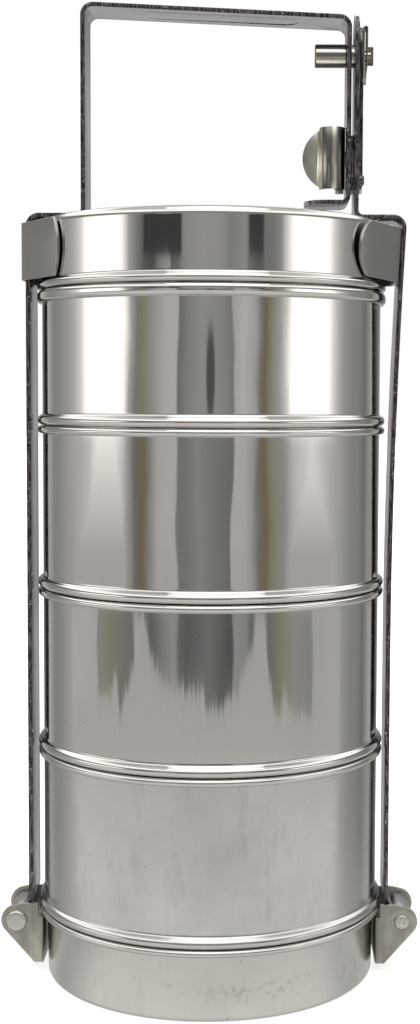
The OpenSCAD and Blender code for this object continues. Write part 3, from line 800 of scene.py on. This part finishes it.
def makeHandleStrap():
    handle = {"drop": 3.9, "tabZ": 286.5, "tabL": 16.0, "tabRound": 8.5, "shaftR": 2.05, "windowHalf": 1.6,
              "windowLow": 300.3, "windowHigh": 306.3, "ovalHalf": 23.0, "ovalR": 5.5, "ovalDepth": 0.22,
              "ovalX": 3.0}
    c, b, g = strap["corner"], strap["legBend"], strap["gripBend"]
    drop, tabZ, tabEnd = handle["drop"], handle["tabZ"], legR - handle["tabL"]
    left = -strap["leftX"] + half
    slope = math.degrees(math.atan(drop / (strap["legOuterR"] - strap["legOuterL"])))
    path = (riser(-1, left, 0)
            + arc(left + c, flangeZ - c, c, 180, 90, 8)
            + arc(legL - b, flangeZ + b, b, -90, 0, 8)
            + arc(legL + g, gripTop - g, g, 180, 90 - slope, 10)
            + arc(legR - g, gripTop - drop - g, g, 90 - slope, 0, 10)
            + arc(legR - b, tabZ + b, b, 0, -90, 8)
            + [(tabEnd, tabZ)])
    piece = bendStrip("handleStrap", path)
    roundEnd(piece, lambda co: abs(co.x - tabEnd) < 0.1 and abs(co.z - tabZ) < 0.1, handle["tabRound"])
    thicken(piece, strap["t"])
    cut(piece, slabX("shaftHole", arc(0, lockZ, handle["shaftR"], 0, 345, 23), 47, 53))
    # long shallow oval pressed up into the underside of the grip
    long, r, x = handle["ovalHalf"], handle["ovalR"], handle["ovalX"]
    middleZ = gripTop - drop * (x - legL) / (legR - legL) - half
    below = 4
    ring = arc(-long, 0, r, 90, 270, 14) + arc(long, 0, r, -90, 90, 14)
    places = [Vector(((x + along) * mm, y * mm, (middleZ - below) * mm)) for along, y in ring]
    pressed = pushOut(fillOutline("pressed", places), (0, 0, below + handle["ovalDepth"]))
    turnPiece(pressed, slope, "Y", (x * mm, 0, middleZ * mm))
    cut(piece, pressed)
    w, low, high = handle["windowHalf"], handle["windowLow"], handle["windowHigh"]
    cut(piece, slabX("bracketWindow", [(-w, low), (w, low), (w, high), (-w, high)], 47, 53))
    finishStrap(piece, "left_arm", "handle_strap", strap["edge"])


def keySlotOutline():
    r, low, high = 2.5, lockZ - 3.8, lockZ + 6.4
    return arc(0, high - r, r, 0, 180, 12) + arc(0, low + r, r, 180, 360, 12)


def makeLatchStrap():
    c, b = strap["corner"], strap["legBend"]
    right = strap["rightX"] - half
    crown = right + strap["bow"]
    path = (riser(1, -right, strap["bow"])
            + arc(crown - c, flangeZ - c, c, 3, 90, 8)
            + arc(uprightX + b, flangeZ + b, b, 270, 180, 8)
            + [(uprightX, uprightTop)])
    piece = bendStrip("latchStrap", path)
    roundEnd(piece, lambda co: abs(co.z - uprightTop) < 0.1, strap["w"] / 2 - 0.1)
    thicken(piece, strap["t"])
    cut(piece, slabX("keySlot", keySlotOutline(), uprightX - 3, uprightX + 3))
    finishStrap(piece, "right_arm", "latch_strap", strap["edge"])


makeHandleStrap()
makeLatchStrap()
print("straps ready")


def foldFlat(piece, pivots, turn, side):
    # folds what lies past each upright line at (x, y); the outermost line first
    for x, y in pivots:
        pickOnly(piece)
        bpy.ops.object.mode_set(mode="EDIT")
        bpy.ops.mesh.select_all(action="SELECT")
        bpy.ops.mesh.bisect(plane_co=(x * mm, y * mm, 0), plane_no=(0, 1, 0))
        bpy.ops.mesh.select_mode(type="VERT")
        bpy.ops.mesh.select_all(action="DESELECT")
        objectMode()
        for vertex in piece.data.vertices:
            vertex.select = vertex.co.y / mm * side > y * side + 0.01
        bpy.ops.object.mode_set(mode="EDIT")
        # with no window the turn comes out the other way round
        bpy.ops.transform.rotate(value=math.radians(turn * side), orient_axis="Z", orient_type="GLOBAL",
                                 center_override=(x * mm, y * mm, 0))
        objectMode()


def makeSaddle(side):
    saddle = {"t": 1.3, "half": 11.2, "gap": 0.45, "bend": 0.9, "edge": 0.28}
    if side < 0:
        node, body = "left_saddle", "left_arm"
        saddle.update({"round": 18.0, "past": 2.4, "webX": strap["leftX"] + 1.35, "lean": 0})
    else:
        node, body = "right_saddle", "right_arm"
        saddle.update({"round": 10.8, "past": 4.0, "webX": strap["rightX"] + 1.5, "lean": 2.9})
    low, high = lowOf(node).z, highOf(node).z
    across, webX, r = saddle["half"], saddle["webX"], saddle["round"]
    outer = wallR + saddle["gap"] + saddle["t"]
    reach = math.hypot(webX, across)
    turn = math.degrees(math.atan2(across, webX) + math.acos(outer / reach))
    wing = math.sqrt(reach ** 2 - outer ** 2) + saddle["past"]
    middle = (low + high) / 2
    opening = math.degrees(math.asin(min(1, (high - low) / 2 / r)))
    end = arc(across + wing - r, middle, r, -opening, opening, 14)
    outline = end + [(-y, z) for y, z in reversed(end)]
    piece = fillOutline("leftSaddle" if side < 0 else "rightSaddle", onSide(outline, side * webX))
    for way in (1, -1):
        pivots = [(side * webX, way * (across + saddle["bend"] * k)) for k in (1, 0.33, -0.33, -1)]
        foldFlat(piece, pivots, -side * turn / len(pivots), way)
    faceOut(piece)
    thicken(piece, saddle["t"], -1 if piece.data.polygons[0].normal.x * side > 0 else 1)
    soften(piece, saddle["edge"], 3, 50)
    if saddle["lean"]:
        turnPiece(piece, saddle["lean"], "Y", (side * webX * mm, 0, low * mm))
    paint(piece, "saddleSteel")
    finish(piece, body, "saddle_steel", node, angle=40)


makeSaddle(-1)
makeSaddle(1)
print("saddles ready")


def makeLug(side):
    lug = {"t": 1.6, "out": 12.2, "earX": 63.7, "tipZ": 4.0, "r": 5.6, "webTop": 21.5, "rise": 6.3,
           "bend": 0.7, "bore": 2.75, "edge": 0.3, "fold": 90}
    face = lug["earX"] - lug["t"]
    tip = (lug["earX"] + 1.5, lug["tipZ"])
    away = (tip[0] - pinX, tip[1] - pinZ)
    tangent = math.degrees(math.atan2(away[1], away[0]) + math.acos(lug["r"] / math.hypot(*away)))
    ear = ([tip] + arc(pinX, pinZ, lug["r"], tangent, 80, 16)
           + [(pinX - 2.5, pinZ + lug["rise"]), (lug["earX"], pinZ + lug["rise"]),
              (lug["earX"], lug["webTop"])])
    right = [(lug["out"] + x - face, z) for x, z in ear]
    outline = ([(-lug["out"] + 1, lug["tipZ"]), (lug["out"] - 1, lug["tipZ"])] + right
               + [(-y, z) for y, z in reversed(right)])
    piece = fillOutline("leftLug" if side < 0 else "rightLug", onSide(outline, side * face))
    for way in (1, -1):
        pivots = [(side * face, way * (lug["out"] + lug["bend"] * k)) for k in (1, 0.5, 0, -0.5, -1)]
        foldFlat(piece, pivots, side * lug["fold"] / len(pivots), way)
    web = [f for f in piece.data.polygons if abs(f.normal.x) > 0.9][0]
    thicken(piece, lug["t"], 1 if web.normal.x * side > 0 else -1)
    places = [Vector(((side * pinX + r) * mm, y * mm, pinZ * mm))
              for r, y in ((0, -20), (lug["bore"], -20), (lug["bore"], 20), (0, 20))]
    cut(piece, spinLine("bore", places, places[0], (0, 1, 0), 40))
    soften(piece, lug["edge"])
    paint(piece, "lugSteel")
    finish(piece, "base", "lug_steel", "left_lug" if side < 0 else "right_lug", angle=40)


def makePin(side):
    pin = {"r": 2.7, "out": 12.2, "head": 3.85, "headH": 1.1, "dome": 0.6, "tail": 0.5}
    o, r, h = pin["out"], pin["r"], pin["head"]
    profile = ([(0, o + pin["headH"] + pin["dome"]), (h - 1.6, o + pin["headH"] + pin["dome"] - 0.03)]
               + [(h - 0.9 + x, o + pin["headH"] - 0.3 + y) for x, y in arc(0, 0, 0.9, 75, 0, 6)]
               + [(h, o + 0.2), (h - 0.2, o), (r, o), (r, -o - pin["tail"] + 0.1)]
               + [(r - 0.6 + x, -o - pin["tail"] + y) for x, y in arc(0, 0, 0.6, 0, -75, 5)]
               + [(1.2, -o - pin["tail"] - 0.55), (1.0, -o - pin["tail"] - 0.3),
                  (0, -o - pin["tail"] - 0.3)])
    places = [Vector(((side * pinX + x) * mm, y * side * mm, pinZ * mm)) for x, y in profile]
    name = "leftPin" if side < 0 else "rightPin"
    piece = spinLine(name, places, (side * pinX * mm, 0, pinZ * mm), (0, 1, 0), 48)
    paint(piece, "pinSteel")
    finish(piece, "base", "lug_steel", "left_hinge_pin" if side < 0 else "right_hinge_pin", angle=35)


for side in (-1, 1):
    makeLug(side)
    makePin(side)
print("lugs and pins ready")

keeperX = uprightX + half + 0.1
keeperT = 1.4
leafX = keeperX + keeperT + 0.05


def makeKeeper():
    keeper = {"endR": 7.0, "edge": 0.28}
    r, low, high = keeper["endR"], lowOf("keeper_plate").z, highOf("keeper_plate").z
    outline = arc(0, low + r, r, 180, 360, 20) + arc(0, high - r, r, 0, 180, 20)
    piece = slabX("keeperPlate", outline, keeperX, keeperX + keeperT)
    cut(piece, slabX("keySlot", keySlotOutline(), keeperX - 1, keeperX + 3))
    finishStrap(piece, "right_arm", "keeper_plate", keeper["edge"])


def makeLeaf():
    leaf = {"t": 0.5, "w": 9.0, "tip": 4.4, "fold": 0.6, "below": 10.2, "above": 9.4, "taper": 5.0,
            "edge": 0.1}
    inner = leafX + leaf["t"] / 2
    bow = inner + 2 * leaf["fold"]
    low = lockZ - leaf["below"]
    crest = lockZ + leaf["above"]
    path = ([(inner, low)] + arc(inner + leaf["fold"], crest, leaf["fold"], 180, 0, 12)
            + [(bow, lockZ + 2), (bow - 0.15, lockZ - 3), (bow - 0.4, lockZ - 7.5), (bow - 0.5, low)])
    piece = extrudeLine("leafSpring", onFront(path, -leaf["w"] / 2), Vector((0, leaf["w"] * mm, 0)))
    thicken(piece, leaf["t"])
    t, w, over, chamfer = leaf["tip"] / 2, leaf["w"] / 2 + 0.3, lockZ + 12, 0.5
    shape = [(-t + chamfer, low - 0.3), (t - chamfer, low - 0.3), (t, low + 0.3), (w, low + leaf["taper"]),
             (w, over), (-w, over), (-w, low + leaf["taper"]), (-t, low + 0.3)]
    cut(piece, slabX("taper", shape, leafX - 2, leafX + 5), "INTERSECT")
    cut(piece, slabX("slot", keySlotOutline(), leafX - 2, leafX + 5))
    soften(piece, leaf["edge"], 2)
    paint(piece, "turnedSteel")
    finish(piece, "right_arm", "lock_steel", "leaf_spring")


def makeKnob():
    knob = {"r": 4.2, "shaft": 2.03, "recess": 1.2, "wall": 1.3, "edge": 0.45, "back": 0.3, "stop": 6.1}
    x0, x1 = lowOf("lock_knob").x, highOf("lock_knob").x
    r, e, back = knob["r"], knob["edge"], knob["back"]
    hollow = r - knob["wall"]
    stop = strap["legOuterR"] - strap["t"] - knob["stop"]
    floor = x0 + knob["recess"]
    profile = ([(floor, 0), (floor, hollow - 0.2), (floor - 0.2, hollow), (x0 + 0.2, hollow)]
               + [(x0 + e + x, r - e + y) for x, y in arc(0, 0, e, 200, 90, 8)]
               + [(x1 - back, r), (x1, r - back), (x1, knob["shaft"]), (stop, knob["shaft"]), (stop, 0)])
    places = [Vector((x * mm, 0, (lockZ + y) * mm)) for x, y in profile]
    piece = spinLine("lockKnob", places, (0, 0, lockZ * mm), (1, 0, 0), 64)
    paint(piece, "turnedSteel")
    finish(piece, "lock", "lock_steel", "lock_knob")


def makeLever():
    lever = {"t": 0.8, "bulge": 4.35, "barrelX": 47.0, "barrel": 1.55, "bend": 2.0, "flapR": 11.6,
             "flap": 6.2, "notchR": 2.4, "notchLow": 300.2, "notchHigh": 306.4, "edge": 0.16}
    tip, z0, z1 = lowOf("thumb_lever").x, lowOf("thumb_lever").z, highOf("thumb_lever").z
    bulgeX = strap["legOuterR"] - strap["t"] - 0.1 - 4.75
    barrelX, bend, flapR = lever["barrelX"], lever["bend"], lever["flapR"]
    foot = bulgeX - lever["bulge"] - 1.72
    plan = ([(tip, 0), (tip + 2, 0), (foot, 0)]
            + arc(foot, -bend, bend, 90, 15, 10)[1:]
            + arc(bulgeX, 0, lever["bulge"], 201, 350, 24)
            + arc(barrelX, 0, lever["barrel"], 10, 250, 16))
    places = [Vector((x * mm, y * mm, z0 * mm)) for x, y in plan]
    piece = extrudeLine("thumbLever", places, Vector((0, 0, (z1 - z0) * mm)))
    thicken(piece, lever["t"])
    middle = (z0 + z1) / 2
    opening = math.degrees(math.acos(1 - lever["flap"] / flapR))
    curve = arc(tip + flapR, middle, flapR, 180 - opening, 180 + opening, 24)
    start, end = curve[0][0], bulgeX + 8
    shape = [(start, z1 + 1)] + curve + [(start, z0 - 1), (end, z0 - 1), (end, z1 + 1)]
    cut(piece, slab("flapShape", shape, -8, 8), "INTERSECT")
    r, low, high = lever["notchR"], lever["notchLow"], lever["notchHigh"]
    ring = [(0, low), (r, low), (r, high), (0, high)]
    places = [Vector(((barrelX + x) * mm, 0, z * mm)) for x, z in ring]
    cut(piece, spinLine("notch", places, (barrelX * mm, 0, 0), (0, 0, 1), 32))
    soften(piece, lever["edge"], 2)
    paint(piece, "leverSteel")
    finish(piece, "thumb_lever", "lock_steel", "thumb_lever")


makeKeeper()
makeLeaf()
makeKnob()
makeLever()

# these small parts keep their own meshes and only get their steel
for name in ("keeper_rivet", "lock_shaft", "lock_collar", "lever_pin", "lever_bracket"):
    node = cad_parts[name]
    node.data.materials.clear()
    node.data.materials.append(skin["cutEdge" if name == "lever_bracket" else "turnedSteel"])
print("lock ready")
